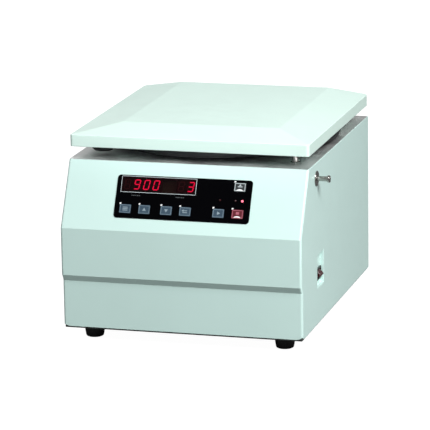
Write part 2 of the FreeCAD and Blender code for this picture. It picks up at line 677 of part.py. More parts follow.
def make_latch_spring():
    """Compression spring round the rod, between its collar and the bracket."""
    start = COLLAR_X + 2.5
    length = 12.5
    radius = 4.2
    wire_r = 0.4
    turns = 5
    steps = 12 * turns
    path = []
    for k in range(steps + 1):
        angle = 2 * math.pi * turns * k / steps
        x = start + length * k / steps
        path.append(Vector(x, LATCH_Y + radius * math.cos(angle), ROD_Z + radius * math.sin(angle)))
    curve = Part.BSplineCurve()
    curve.interpolate(path)
    tangent = curve.tangent(curve.FirstParameter)[0]
    section = Part.Wire(Part.makeCircle(wire_r, path[0], tangent))
    return Part.Wire(curve.toShape()).makePipeShell([section], True, True)


def make_escutcheon():
    """Thin flange with a neck that lines the rod's hole in the casing."""
    radius = 9.8
    thick = 1.2
    flange = rod((HALF_W, LATCH_Y, ROD_Z), AXIS_X, radius, thick)
    face = Vector(HALF_W + thick, LATCH_Y, ROD_Z)
    flange = flange.makeChamfer(0.5, [e for e in flange.Edges if near_circle(e, face, radius)])
    neck = rod((INNER_X - 1, LATCH_Y, ROD_Z), AXIS_X, NECK_R, SHEET + 1)
    return flange.fuse(neck).cut(rod((INNER_X - 2, LATCH_Y, ROD_Z), AXIS_X, ROD_R + 0.08, 6)).removeSplitter()


def make_lid_switch():
    """Snap-action switch beside the slide, with its lever arm and terminals."""
    x0, y0 = 118.0, LATCH_Y + 16.5
    body = box(x0, x0 + 20, y0 + 0.5, y0 + 7, 206, 216)
    lever = box(x0 + 2, x0 + 19, y0 + 2, y0 + 5.5, 217, 217.5)
    post = box(x0 + 2, x0 + 3, y0 + 2, y0 + 5.5, 216, 217)
    tails = [box(x0 + 3 + dx, x0 + 6 + dx, y0 + 3.4, y0 + 4.0, 200, 206) for dx in (0, 5.5, 11)]
    return fuse([body, lever, post] + tails)


# ---------------------------------------------------------------- control panel, drawn flat, put on the slope
CUT_U = (-82.0, 83.0)     # opening in the casing behind the panel
CUT_V = (19.0, 69.0)
BOARD_W = -10.0           # underside of the display board, below the casing's face
BOARD_T = 1.6
KEY_GAP = 0.25


def panel_box(u0, u1, v0, v1, w0, w1):
    """A block between two sideways places, two places down the slope and two heights off the face."""
    return box(u0, u1, -v1, -v0, w0, w1)


def key_block(name, grow, w0, w1, corner):
    u, v = KEYS[name]
    half_w = KEY_W / 2 + grow
    half_h = KEY_H / 2 + grow
    return plate(u - half_w, u + half_w, -v - half_h, -v + half_h, w0, w1, corner)


def make_overlay():
    u0, u1 = PANEL_U - PANEL_W / 2, PANEL_U + PANEL_W / 2
    v0, v1 = PANEL_V - PANEL_H / 2, PANEL_V + PANEL_H / 2
    face = plate(u0, u1, -v1, -v0, 0, OVERLAY_T, 4.0)
    window = panel_box(*WINDOW_U, *WINDOW_V, -1, 2)
    keys = [key_block(name, KEY_GAP, -1, 2, 1.0) for name in KEYS]
    lights = [rod((u, -v, -1), AXIS_Z, 1.5, 3) for u, v in LEDS]
    return on_slope(face.cut([window] + keys + lights))


def make_window():
    return on_slope(panel_box(*WINDOW_U, *WINDOW_V, 0, OVERLAY_T - 0.1))


def make_key(name):
    """Key cap with a shallow dish, which slides into the panel."""
    cap = key_block(name, 0, -1.0, OVERLAY_T + 0.7, 0.8)
    dish = key_block(name, -1.3, OVERLAY_T + 0.45, OVERLAY_T + 1.7, 0.5)
    return on_slope(cap.cut(dish))


def make_tact_switches():
    """One small switch on the board under each key."""
    top = -1.0 - KEY_TRAVEL - 0.1
    switches = []
    for u, v in KEYS.values():
        body = panel_box(u - 3, u + 3, v - 3, v + 3, BOARD_W + BOARD_T, top - 1.5)
        stem = rod((u, -v, top - 1.5), AXIS_Z, 1.7, 1.5)
        switches.append(on_slope(body.fuse(stem)))
    return Part.makeCompound(switches)


def make_display_board():
    board = panel_box(CUT_U[0] + 2, CUT_U[1] - 2, CUT_V[0] + 0.5, CUT_V[1] - 2, BOARD_W, BOARD_W + BOARD_T)
    chips = [panel_box(u, u + 18, 30, 40, BOARD_W - 3.5, BOARD_W) for u in (-60, -20, 25)]
    return on_slope(fuse([board] + chips))


def make_digits(middle_u, count):
    """A seven-segment display module: its block, with each segment let in to the face."""
    half = count * DIGIT_PITCH / 2
    top = -0.1
    block = panel_box(middle_u - half, middle_u + half, DIGIT_V - 9, DIGIT_V + 9, BOARD_W + BOARD_T, top)
    deep = top - 0.4
    cuts = []
    for k in range(count):
        u = middle_u - half + (k + 0.5) * DIGIT_PITCH
        for v in (DIGIT_V - 6.2, DIGIT_V, DIGIT_V + 6.2):
            cuts.append(panel_box(u - 2.6, u + 2.6, v - 0.7, v + 0.7, deep, top + 1))
        for side_u in (u - 3.6, u + 3.6):
            for v in (DIGIT_V - 3.1, DIGIT_V + 3.1):
                cuts.append(panel_box(side_u - 0.7, side_u + 0.7, v - 2.4, v + 2.4, deep, top + 1))
    return on_slope(block.cut(cuts))


def make_leds():
    """Round indicator lamps with domed ends."""
    lamps = []
    for u, v in LEDS:
        body = rod((u, -v, BOARD_W + BOARD_T), AXIS_Z, 1.4, OVERLAY_T - BOARD_W - BOARD_T)
        dome = Part.makeSphere(1.4, Vector(u, -v, OVERLAY_T))
        lamps.append(on_slope(body.fuse(dome).removeSplitter()))
    return Part.makeCompound(lamps)


# ---------------------------------------------------------------- electrics inside and behind
def make_control_board():
    """Motor drive board on four legs, with a finned heat sink, capacitors and a terminal block."""
    floor = FOOT_H + SHEET
    x0, x1, y0, y1 = -145.0, -65.0, -165.0, -80.0
    z = floor + 8
    parts = [box(x0, x1, y0, y1, z, z + 1.6)]
    legs = [rod((x, y, floor), AXIS_Z, 3, 8) for x in (x0 + 5, x1 - 5) for y in (y0 + 5, y1 - 5)]
    sink = [box(x0 + 6, x0 + 30, y0 + 12, y1 - 12, z + 1.6, z + 5)]
    sink += [box(x0 + 6 + 5 * k, x0 + 8 + 5 * k, y0 + 12, y1 - 12, z + 5, z + 28) for k in range(5)]
    cans = [rod((x1 - 16, y, z + 1.6), AXIS_Z, 9, 30) for y in (y0 + 20, y0 + 44)]
    block = box(x1 - 26, x1 - 4, y1 - 14, y1 - 4, z + 1.6, z + 13)
    return fuse(parts + legs + sink + cans + [block])


def make_transformer():
    """Laminated core with two mounting feet and a wound bobbin through its windows."""
    floor = FOOT_H + SHEET
    x0, x1, y0, y1 = 30.0, 96.0, -150.0, -118.0
    core = box(x0, x1, y0, y1, floor, floor + 56)
    feet = [box(x, x + 10, y0 + 2, y1 - 2, floor, floor + 2) for x in (x0 - 10, x1)]
    middle = (x0 + x1) / 2
    bobbin = plate(middle - 21, middle + 21, y0 - 11, y1 + 11, floor + 11, floor + 45, 6)
    return fuse([core, bobbin] + feet)


def make_pocket():
    """Formed tray set in the right side for the power switch, open outwards."""
    y0, y1 = POCKET_Y
    z0, z1 = POCKET_Z
    back = HALF_W - POCKET_DEPTH
    t = POCKET_SHEET
    tray = box(back - t, HALF_W, y0, y1, z0, z1)
    hollow = box(back, HALF_W + 1, y0 + t, y1 - t, z0 + t, z1 - t)
    return tray.cut(hollow).cut(rocker_hole(0.0, back - t - 1, back + 1))


def rocker_hole(inset, x0, x1):
    """The switch body's section, drawn in by inset, from x0 to x1."""
    y0, y1 = ROCKER_Y
    half = FRAME_HALF_H - 1.0 - inset
    return box(x0, x1, y0 + inset, y1 - inset, ROCKER_Z - half, ROCKER_Z + half)


def make_switch_frame():
    """Black frame of the power switch, its hollow body behind the tray and its tabs."""
    back = HALF_W - POCKET_DEPTH
    y0, y1 = ROCKER_Y
    bezel = box(back, back + BEZEL_T, y0 - 1.5, y1 + 1.5, ROCKER_Z - FRAME_HALF_H, ROCKER_Z + FRAME_HALF_H)
    body = rocker_hole(0.0, back - 20, back + 1)
    hollow = rocker_hole(1.0, back - 12, back + BEZEL_T + 1)
    middle_y = (y0 + y1) / 2
    tabs = [box(back - 28, back - 20, middle_y - 3, middle_y + 3, ROCKER_Z + dz, ROCKER_Z + dz + 0.8)
            for dz in (-5, 4.2)]
    return fuse([bezel, body] + tabs).cut(hollow)


def make_rocker():
    """Rocker with two slanting faces, drawn level and then tilted to its upper position."""
    x0 = HALF_W - POCKET_DEPTH - 2.0
    y0, y1 = ROCKER_Y[0] + 2.0, ROCKER_Y[1] - 2.0
    z = ROCKER_Z
    ridge_x, end_x, heel_x = x0 + 8.2, x0 + 2.0, x0 - 6.0
    outline = [(heel_x, -2.0), (x0 + 1.0, -5.1), (end_x, -5.1), (ridge_x, -0.6), (ridge_x, 0.6), (end_x, 5.1),
               (x0 + 1.0, 5.1), (heel_x, 2.0)]
    solid = polygon([(x, y0, z + h) for x, h in outline]).extrude(Vector(0, y1 - y0, 0))
    solid.rotate(Vector(x0, 0, z), AXIS_Y, ROCKER_TILT)
    return solid


def make_inlet():
    """Appliance inlet with three pins in its socket and a slot below it for the fuse drawer."""
    low, high = INLET_Z - 23.0, INLET_Z + 11.5
    half = 13.5
    y = REAR_Y
    flange = box(INLET_X - half - 8, INLET_X + half + 8, y, y + 3, low - 3, high + 3)
    flange = rounded(flange, 5, lambda m, d: abs(d.y) > 0.99)
    body = box(INLET_X - half, INLET_X + half, y - 24, y, low, high)
    socket = box(INLET_X - 12, INLET_X + 12, y - 15, y + 4, INLET_Z - 8, INLET_Z + 8)
    drawer = box(INLET_X - 9.3, INLET_X + 9.3, y - 20, y + 4, INLET_Z - 21.3, INLET_Z - 11.7)
    screws = [screw(INLET_X + dx, y + 3, INLET_Z, AXIS_Y, 2.6, 1.2, 1.5, 7) for dx in INLET_SCREWS]
    pins = [box(INLET_X + dx - 1, INLET_X + dx + 1, y - 16, y - 1, INLET_Z + dz - 2, INLET_Z + dz + 2)
            for dx, dz in ((-7, -2), (0, 2.5), (7, -2))]
    tabs = [box(x - 3, x + 3, y - 32, y - 24, INLET_Z - 0.4, INLET_Z + 0.4)
            for x in (INLET_X - 7, INLET_X + 7)]
    return fuse([flange.fuse(body).cut([socket, drawer])] + screws + pins + tabs)


def make_fuse_drawer():
    """Fuse holder that slides straight out under the socket, with a finger notch in its front."""
    y = REAR_Y
    block = box(INLET_X - 9, INLET_X + 9, y - 18, y + 3, INLET_Z - 21, INLET_Z - 12)
    seat = box(INLET_X - 2.8, INLET_X + 2.8, y - 16, y - 2, INLET_Z - 17, INLET_Z - 11)
    front = box(INLET_X - 9, INLET_X + 9, y + 3, y + 4.2, INLET_Z - 21, INLET_Z - 12)
    notch = box(INLET_X - 4, INLET_X + 4, y + 2.2, y + 5, INLET_Z - 20, INLET_Z - 18.4)
    return fuse([block, front]).cut([seat, notch])


# ---------------------------------------------------------------- write every node
NODES = {
    "casing_shell": make_casing, "deck_plate": make_deck_plate, "rear_panel": make_rear_panel,
    "base_plate": make_base_plate,
    "rubber_feet": make_feet, "foot_screws": make_foot_screws, "casing_screws": make_casing_screws,
    "chamber_bowl": make_bowl, "chamber_gasket": make_gasket, "spindle_boot": make_boot,
    "motor_plate": make_motor_plate, "motor_isolators": make_isolators, "motor_pillars": make_pillars,
    "motor_housing": make_motor_housing, "motor_end_cap": make_motor_cap, "motor_stator": make_stator,
    "motor_bearings": make_bearings, "motor_armature": make_armature, "spindle": make_spindle,
    "rotor_plate": make_rotor_plate, "tube_sleeves": make_sleeves, "rotor_nut": make_rotor_nut,
    "lid_shell": make_lid_shell, "lid_inner_plate": make_lid_inner_plate, "lid_liner": make_lid_liner,
    "lid_bumper": make_lid_bumper, "striker_pin": make_striker, "hinge_pins": make_hinge_pins,
    "latch_bush": make_latch_bush, "latch_bracket": make_latch_bracket, "latch_slide": make_latch_slide,
    "pull_rod": make_pull_rod, "latch_spring": make_latch_spring, "rod_escutcheon": make_escutcheon,
    "lid_switch": make_lid_switch, "panel_overlay": make_overlay, "display_window": make_window,
    "display_board": make_display_board, "key_switches": make_tact_switches, "indicator_lamps": make_leds,
    "control_board": make_control_board, "transformer": make_transformer, "switch_pocket": make_pocket,
    "switch_frame": make_switch_frame, "rocker": make_rocker, "mains_inlet": make_inlet,
    "fuse_drawer": make_fuse_drawer,
}


def main():
    os.makedirs("parts", exist_ok=True)
    shapes = {name: make() for name, make in NODES.items()}
    shapes["speed_digits"] = make_digits(-55.6, 4)
    shapes["time_digits"] = make_digits(1.6, 2)
    for side, word in ((-1, "left"), (1, "right")):
        shapes["hinge_base_" + word] = make_hinge_base(side)
        shapes["hinge_leaf_" + word] = make_hinge_leaf(side)
    for name in KEYS:
        shapes[name] = make_key(name)
    for name, shape in shapes.items():
        if not shape.isValid() or shape.Volume <= 0:
            raise SystemExit(name + " is not a valid solid")
        shape.exportStep("parts/" + name + ".step")
        print(f"{name:18s} solids {len(shape.Solids)}  volume {shape.Volume / 1000:.2f} cm3")


main()
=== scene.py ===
import math

import bmesh
import bpy
from mathutils import Matrix, Vector
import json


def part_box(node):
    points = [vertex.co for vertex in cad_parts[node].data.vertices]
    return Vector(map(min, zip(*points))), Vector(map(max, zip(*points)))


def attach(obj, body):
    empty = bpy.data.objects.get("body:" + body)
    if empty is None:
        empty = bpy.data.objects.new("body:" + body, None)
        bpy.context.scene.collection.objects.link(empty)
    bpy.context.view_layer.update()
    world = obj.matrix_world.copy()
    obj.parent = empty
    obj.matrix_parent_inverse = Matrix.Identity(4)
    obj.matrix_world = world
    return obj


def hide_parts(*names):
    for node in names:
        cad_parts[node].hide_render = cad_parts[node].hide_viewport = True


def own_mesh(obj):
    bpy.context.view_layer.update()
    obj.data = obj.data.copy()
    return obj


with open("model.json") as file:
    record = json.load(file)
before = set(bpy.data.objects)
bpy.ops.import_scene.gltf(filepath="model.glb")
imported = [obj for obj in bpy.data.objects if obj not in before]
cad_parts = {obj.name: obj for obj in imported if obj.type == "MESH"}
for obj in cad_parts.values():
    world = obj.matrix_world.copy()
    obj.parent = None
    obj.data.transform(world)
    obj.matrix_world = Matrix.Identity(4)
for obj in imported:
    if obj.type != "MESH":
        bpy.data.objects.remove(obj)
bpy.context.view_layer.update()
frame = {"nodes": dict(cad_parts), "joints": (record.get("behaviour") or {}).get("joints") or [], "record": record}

MM = 0.001
NODES = frame["nodes"]
BODY_OF = {node: body for body, nodes in frame["record"]["behaviour"]["bodies"].items() for node in nodes}
SLOT_OF = {part["node"]: part["material_slot"] for part in frame["record"]["subparts"]}
JOINTS = {joint["name"]: joint for joint in frame["joints"]}


# ---------------------------------------------------------------- material building blocks
NOISE_LOW, NOISE_HIGH = 0.3, 0.7    # the range that most of a noise falls in
NOISE_ROUGHNESS = 0.55
COAT_ROUGHNESS = 0.18
CLEAR_TINT = (0.92, 0.5, 0.55, 1)   # what the window's clear share lets through
FILTER_SHARE = 0.2                  # how much of the window is smoked surface


class Nodes:
    """A material's node tree, with the few node shapes that the finishes share."""

    def __init__(self, name):
        self.material = bpy.data.materials.new(name)
        self.material.use_nodes = True
        self.tree = self.material.node_tree
        self.shader = self.tree.nodes["Principled BSDF"]
        self.place = self.node("ShaderNodeTexCoord").outputs["Object"]

    def node(self, kind, **settings):
        made = self.tree.nodes.new(kind)
        for key, value in settings.items():
            setattr(made, key, value)
        return made

    def link(self, source, target):
        self.tree.links.new(source, target)

    def stretched(self, scale):
        """Object coordinates in metres, scaled by a factor or by one factor an axis."""
        mapping = self.node("ShaderNodeMapping")
        mapping.inputs["Scale"].default_value = scale if hasattr(scale, "__len__") else (scale,) * 3
        self.link(self.place, mapping.inputs["Vector"])
        return mapping.outputs["Vector"]

    def noise(self, scale, detail=3.0):
        made = self.node("ShaderNodeTexNoise")
        made.inputs["Scale"].default_value = 1.0
        made.inputs["Detail"].default_value = detail
        made.inputs["Roughness"].default_value = NOISE_ROUGHNESS
        self.link(self.stretched(scale), made.inputs["Vector"])
        return made.outputs["Fac"]

    def spread(self, value, low, high):
        """A noise's middle range stretched over low to high."""
        made = self.node("ShaderNodeMapRange")
        ends = {"From Min": NOISE_LOW, "From Max": NOISE_HIGH, "To Min": low, "To Max": high}
        for key, number in ends.items():
            made.inputs[key].default_value = number
        self.link(value, made.inputs["Value"])
        return made.outputs["Result"]

    def mixed(self, factor, first, second):
        made = self.node("ShaderNodeMix", data_type="RGBA")
        self.link(factor, made.inputs["Factor"])
        made.inputs["A"].default_value = (*first, 1)
        made.inputs["B"].default_value = (*second, 1)
        return made.outputs["Result"]

    def bump(self, height, strength, distance):
        made = self.node("ShaderNodeBump")
        made.inputs["Strength"].default_value = strength
        made.inputs["Distance"].default_value = distance
        self.link(height, made.inputs["Height"])
        self.link(made.outputs["Normal"], self.shader.inputs["Normal"])

    def round_axis(self, centre):
        """Distance from the upright axis through centre, as a coordinate for turned and spun finishes."""
        shift = self.node("ShaderNodeMapping")
        shift.inputs["Location"].default_value = (-centre.x, -centre.y, 0)
        self.link(self.place, shift.inputs["Vector"])
        flat = self.node("ShaderNodeVectorMath", operation="MULTIPLY")
        flat.inputs[1].default_value = (1, 1, 0)
        self.link(shift.outputs["Vector"], flat.inputs[0])
        length = self.node("ShaderNodeVectorMath", operation="LENGTH")
        self.link(flat.outputs["Vector"], length.inputs[0])
        return length.outputs["Value"]


def darker(colour, share):
    return tuple(c * share for c in colour)


def coated(name, colour, rough, grain=900.0, depth=0.00004, cloud=0.04, coat=0.0, specular=0.5):
    """Paint, moulded plastic or rubber: a fine grain in relief, with slight clouds in colour and gloss."""
    n = Nodes(name)
    clouds = n.noise(9.0)
    n.link(n.mixed(n.spread(clouds, 0, 1), darker(colour, 1 - cloud), colour), n.shader.inputs["Base Color"])
    n.link(n.spread(n.noise(60.0), rough * 0.88, rough * 1.12), n.shader.inputs["Roughness"])
    n.shader.inputs["Specular IOR Level"].default_value = specular
    n.shader.inputs["Coat Weight"].default_value = coat
    n.shader.inputs["Coat Roughness"].default_value = COAT_ROUGHNESS
    n.bump(n.noise(grain, 2.0), 0.35, depth)
    return n.material


def metal(name, colour, rough, stretch=(600, 600, 600), depth=0.00002, tone=0.12):
    """Bare metal with the fine lines of rolling, grinding or turning along one axis."""
    n = Nodes(name)
    lines = n.noise(stretch, 4.0)
    n.link(n.mixed(n.spread(lines, 0, 1), darker(colour, 1 - tone), colour), n.shader.inputs["Base Color"])
    n.link(n.spread(n.noise(35.0), rough * 0.8, rough * 1.25), n.shader.inputs["Roughness"])
    n.shader.inputs["Metallic"].default_value = 1.0
    n.bump(lines, 0.25, depth)
    return n.material


def spun(name, colour, rough, centre, pitch):
    """Metal turned or spun about an upright axis: rings in colour, gloss and relief."""
    n = Nodes(name)
    ring = n.node("ShaderNodeTexNoise", noise_dimensions="1D")
    ring.inputs["Scale"].default_value = 1.0 / pitch
    ring.inputs["Detail"].default_value = 3.0
    n.link(n.round_axis(centre), ring.inputs["W"])
    rings = ring.outputs["Fac"]
    n.link(n.mixed(n.spread(rings, 0, 1), darker(colour, 0.84), colour), n.shader.inputs["Base Color"])
    n.link(n.spread(rings, rough * 0.75, rough * 1.25), n.shader.inputs["Roughness"])
    n.shader.inputs["Metallic"].default_value = 1.0
    n.bump(rings, 0.3, 0.00003)
    return n.material


def lit(name, colour, strength, glow):
    """A glowing segment or lamp, with slight clouds in its colour and its glow."""
    n = Nodes(name)
    for socket, shade, grain in (("Base Color", colour, 400.0), ("Emission Color", glow, 250.0)):
        clouds = n.spread(n.noise(grain), 0, 1)
        n.link(n.mixed(clouds, darker(shade, 0.8), shade), n.shader.inputs[socket])
    n.shader.inputs["Emission Strength"].default_value = strength
    n.shader.inputs["Roughness"].default_value = 0.35
    return n.material


def smoked(name, tint):
    """Thin see-through filter: a tinted clear sheet with a soft gloss."""
    n = Nodes(name)
    gloss = n.shader
    n.link(n.mixed(n.spread(n.noise(30.0), 0, 1), darker(tint, 0.9), tint), gloss.inputs["Base Color"])
    gloss.inputs["Roughness"].default_value = 0.08
    clear = n.node("ShaderNodeBsdfTransparent")
    clear.inputs["Color"].default_value = CLEAR_TINT
    blend = n.node("ShaderNodeMixShader")
    blend.inputs["Fac"].default_value = FILTER_SHARE
    n.link(clear.outputs["BSDF"], blend.inputs[1])
    n.link(gloss.outputs["BSDF"], blend.inputs[2])
    output = n.tree.nodes["Material Output"]
    n.link(blend.outputs["Shader"], output.inputs["Surface"])
    return n.material


# ---------------------------------------------------------------- the finishes
MINT = (0.60, 0.80, 0.755)
# The lid's mint is a lighter copy of the casing's: painted light, standing in for the stronger light that falls on
# the lid.
LID_MINT_PAINTED_LIGHT = (0.70, 0.885, 0.815)
rotor_low, rotor_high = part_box("rotor_plate")
ROTOR_AXIS = (rotor_low + rotor_high) / 2

FINISH = {
    "casing_paint": coated("casing_paint", MINT, 0.36, 1400, 0.00003, 0.03, coat=0.25),
    "lid_paint": coated("lid_paint", LID_MINT_PAINTED_LIGHT, 0.36, 1400, 0.00003, 0.03, coat=0.25),
    "chassis_steel": metal("chassis_steel", (0.55, 0.56, 0.55), 0.4, (900, 60, 900)),
    # The base plate's near-black is partly painted shade: it stands in for the shadow line under the casing's
    # bottom edge.
    "base_grey": coated("base_grey", (0.045, 0.052, 0.05), 0.5, 1400, 0.00003, 0.1),
    "deck_steel": metal("deck_steel", (0.80, 0.80, 0.80), 0.48, (60, 1800, 60), 0.00001, 0.08),
    "stainless": spun("stainless", (0.62, 0.63, 0.64), 0.26, ROTOR_AXIS, 0.0009),
    "screw_steel": metal("screw_steel", (0.62, 0.62, 0.58), 0.3, (500, 500, 500)),
    "black_rubber": coated("black_rubber", (0.012, 0.012, 0.013), 0.62, 1800, 0.00008, 0.25, specular=0.35),
    "motor_casting": metal("motor_casting", (0.42, 0.43, 0.44), 0.5, (300, 300, 300), 0.0001),
    "winding_copper": metal("winding_copper", (0.72, 0.32, 0.14), 0.35, (100, 100, 2500), 0.0001, 0.4),
    "core_steel": metal("core_steel", (0.2, 0.2, 0.21), 0.45, (60, 2500, 60), 0.00008, 0.4),
    # Turned steel is partly painted shade: darker than bare steel's own tone, to stand in for the dark reflections
    # on the pull rod and its disc.
    "turned_steel": metal("turned_steel", (0.44, 0.43, 0.41), 0.2, (60, 1200, 1200)),
    "spring_steel": metal("spring_steel", (0.5, 0.5, 0.5), 0.3, (400, 400, 400)),
    "rotor_aluminium": spun("rotor_aluminium", (0.66, 0.67, 0.68), 0.32, ROTOR_AXIS, 0.0006),
    "liner_plastic": coated("liner_plastic", (0.012, 0.012, 0.014), 0.5, 1500, 0.00008, 0.2),
    "panel_black": coated("panel_black", (0.0012, 0.0012, 0.0018), 0.3, 2500, 0.00001, 0.3, specular=0.02),
    "window_smoke": smoked("window_smoke", (0.006, 0.003, 0.004)),
    "digit_block": coated("digit_block", (0.004, 0.004, 0.004), 0.5, 900, 0.00002, 0.3, specular=0.2),
    "board_green": coated("board_green", (0.01, 0.12, 0.045), 0.35, 500, 0.00003, 0.25),
    "key_blue": coated("key_blue", (0.034, 0.066, 0.10), 0.42, 1800, 0.00003, 0.12),
    "key_red": coated("key_red", (0.11, 0.006, 0.014), 0.42, 1800, 0.00003, 0.12),
    "key_grey": coated("key_grey", (0.02, 0.026, 0.028), 0.42, 1800, 0.00003, 0.12),
    "lamp_red": coated("lamp_red", (0.035, 0.006, 0.007), 0.2, 300, 0.00001, 0.2),
    "black_plastic": coated("black_plastic", (0.014, 0.014, 0.015), 0.38, 1300, 0.00005, 0.2),
    "rocker_red": coated("rocker_red", (0.045, 0.005, 0.008), 0.25, 600, 0.00001, 0.15, coat=0.3),
}
PRINT_PALE = coated("print_pale", (0.55, 0.62, 0.64), 0.5, 2500, 0.00001, 0.1)
PRINT_ICON = coated("print_icon", (0.26, 0.34, 0.39), 0.5, 2500, 0.00001, 0.1)
PRINT_BLUE = coated("print_blue", (0.15, 0.22, 0.275), 0.45, 2500, 0.00001, 0.1)
PRINT_PINK = coated("print_pink", (0.42, 0.12, 0.16), 0.45, 2500, 0.00001, 0.1)
PRINT_GREY = coated("print_grey", (0.07, 0.08, 0.085), 0.5, 2500, 0.00001, 0.2)
# Painted highlight: the white of the glints by the keys' corners and of the glare arches under two keys, not ink.
PAINTED_HIGHLIGHT = coated("painted_highlight", (0.85, 0.87, 0.87), 0.35, 2500, 0.00001, 0.05)
SEGMENT_LIT = lit("segment_lit", (0.5, 0.01, 0.04), 1.5, (0.92, 0.015, 0.17))
SEGMENT_DARK = coated("segment_dark", (0.022, 0.014, 0.014), 0.6, 900, 0.00002, 0.3)
LAMP_LIT = lit("lamp_lit", (0.8, 0.05, 0.06), 2.2, (1.0, 0.2, 0.3))


# ---------------------------------------------------------------- mesh tools
def keep(name, mesh, body, material):
    """Put a finished mesh in the scene as a piece that rides on a body."""
    piece = bpy.data.objects.new(name, mesh)
    bpy.context.scene.collection.objects.link(piece)
    mesh.materials.clear()
    mesh.materials.append(material)
    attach(piece, body)
    return piece


def applied(piece):
    """Bake a piece's modifiers into its mesh."""
    graph = bpy.context.evaluated_depsgraph_get()
    mesh = bpy.data.meshes.new_from_object(piece.evaluated_get(graph))
    piece.modifiers.clear()
    piece.data = mesh


FOLD_ANGLE = math.radians(24)     # a fold sharper than this stays crisp
RIDGE_ANGLE = math.radians(3)     # so does one sharper than this between wide faces
RIDGE_AREA = 0.0004               # square metres: both faces are wide when they are larger than this
ROUND_ANGLE = math.radians(30)    # an edge sharper than this is rounded off
FLAT_ANGLE = math.radians(0.6)    # faces this near to flat are joined
WELD = 2e-6


def soften(node, width, segments=2):
    """A copy of a CAD node, which stands for it: its faces are joined up and its sharp edges rounded."""
    mesh = NODES[node].data.copy()
    work = bmesh.new()
    work.from_mesh(mesh)
    bmesh.ops.remove_doubles(work, verts=work.verts, dist=WELD)
    bmesh.ops.dissolve_limit(work, angle_limit=FLAT_ANGLE, verts=work.verts, edges=work.edges)
    for edge in work.edges:
        if len(edge.link_faces) != 2:
            continue
        turn = edge.calc_face_angle()
        wide = min(face.calc_area() for face in edge.link_faces) > RIDGE_AREA
        if turn > FOLD_ANGLE or (wide and turn > RIDGE_ANGLE):
            edge.smooth = False
    for face in work.faces:
        face.smooth = True
    work.to_mesh(mesh)
    work.free()
    slot = SLOT_OF[node]
    piece = keep(node + "_finished", mesh, BODY_OF[node], FINISH[slot])
    bevel = piece.modifiers.new("edges", "BEVEL")
    bevel.width = width
    bevel.segments = segments
    bevel.limit_method = "ANGLE"
    bevel.angle_limit = ROUND_ANGLE
    piece.modifiers.new("shading", "WEIGHTED_NORMAL").keep_sharp = True
    applied(piece)
    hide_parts(node)
    return piece


def slab(outline, low, high):
    """A mesh block on a closed flat outline of (x, y) points, between two heights."""
    work = bmesh.new()
    face = work.faces.new([work.verts.new((x, y, low)) for x, y in outline])
    raised = bmesh.ops.extrude_face_region(work, geom=[face])
    top = [item for item in raised["geom"] if isinstance(item, bmesh.types.BMVert)]
    bmesh.ops.translate(work, verts=top, vec=(0, 0, high - low))
    bmesh.ops.recalc_face_normals(work, faces=work.faces)
    mesh = bpy.data.meshes.new("slab")
    work.to_mesh(mesh)
    work.free()
    return mesh


def joined(meshes):
    """One mesh out of several, which are used up."""
    work = bmesh.new()
    for mesh in meshes:
        work.from_mesh(mesh)
        bpy.data.meshes.remove(mesh)
    whole = bpy.data.meshes.new("joined")
    work.to_mesh(whole)
    work.free()
    return whole


LEAST_RADIUS = 0.05 * MM


def frame_slab(width, height, line, radius, low, high):
    """A thin rectangular ring with rounded corners."""
    outer = round_box(width, height, radius)
    inner = round_box(width - 2 * line, height - 2 * line, max(radius - line, LEAST_RADIUS))
    work = bmesh.new()
    rings = [[work.verts.new((x, y, z)) for x, y in loop] for z in (low, high) for loop in (outer, inner)]
    low_out, low_in, high_out, high_in = rings
    for first, second in ((low_out, low_in), (low_in, high_in), (high_in, high_out), (high_out, low_out)):
        for k in range(len(first)):
            after = (k + 1) % len(first)
            work.faces.new((first[k], first[after], second[after], second[k]))
    bmesh.ops.recalc_face_normals(work, faces=work.faces)
    mesh = bpy.data.meshes.new("frame")
    work.to_mesh(mesh)
    work.free()
    return mesh


def round_box(width, height, radius, steps=5):
    """The (x, y) points of a rectangle with rounded corners, about its middle."""
    points = []
    for quarter, (sx, sy) in enumerate(((1, 1), (-1, 1), (-1, -1), (1, -1))):
        for k in range(steps + 1):
            angle = math.radians(90 * (quarter + k / steps))
            points.append((sx * (width / 2 - radius) + radius * math.cos(angle),
                           sy * (height / 2 - radius) + radius * math.sin(angle)))
    return points


ARCH_FADE = 0.6           # how bluntly an arch thins towards its ends
ARCH_TIP = 0.02 * MM      # thickness that is left at them


def crescent(radius, thick, spread, steps=12):
    """An arch open at the bottom, thickest at its crown."""
    outer, inner = [], []
    for k in range(steps + 1):
        angle = math.radians(90 - spread + 2 * spread * k / steps)
        fade = math.sin(math.pi * k / steps) ** ARCH_FADE
        near = radius - thick * fade - ARCH_TIP
        outer.append((radius * math.cos(angle), radius * math.sin(angle)))
        inner.append((near * math.cos(angle), near * math.sin(angle)))
    return outer + inner[::-1]


def shifted(mesh, x, y, turn=0.0):
    """The same mesh, turned about its origin and moved sideways."""
    mesh.transform(Matrix.Translation((x, y, 0)) @ Matrix.Rotation(turn, 4, "Z"))
    return mesh


# ---------------------------------------------------------------- the sloped panel's own frame
INWARD = Vector(JOINTS["key_stop_press"]["axis"]).normalized()
OUTWARD = -INWARD
UPHILL = OUTWARD.cross(Vector((1, 0, 0)))
overlay_low, overlay_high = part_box("panel_overlay")
OVERLAY_T = 0.8 * MM
PANEL_MIDDLE = (overlay_low + overlay_high) / 2 + OUTWARD * (OVERLAY_T / 2)


def panel_matrix(point=PANEL_MIDDLE):
    """From flat coordinates (x sideways, y uphill, z off the face) to the sloped panel, at a point on it."""
    return Matrix((
        (1, UPHILL.x, OUTWARD.x, point.x),
        (0, UPHILL.y, OUTWARD.y, point.y),
        (0, UPHILL.z, OUTWARD.z, point.z),
        (0, 0, 0, 1),
    ))


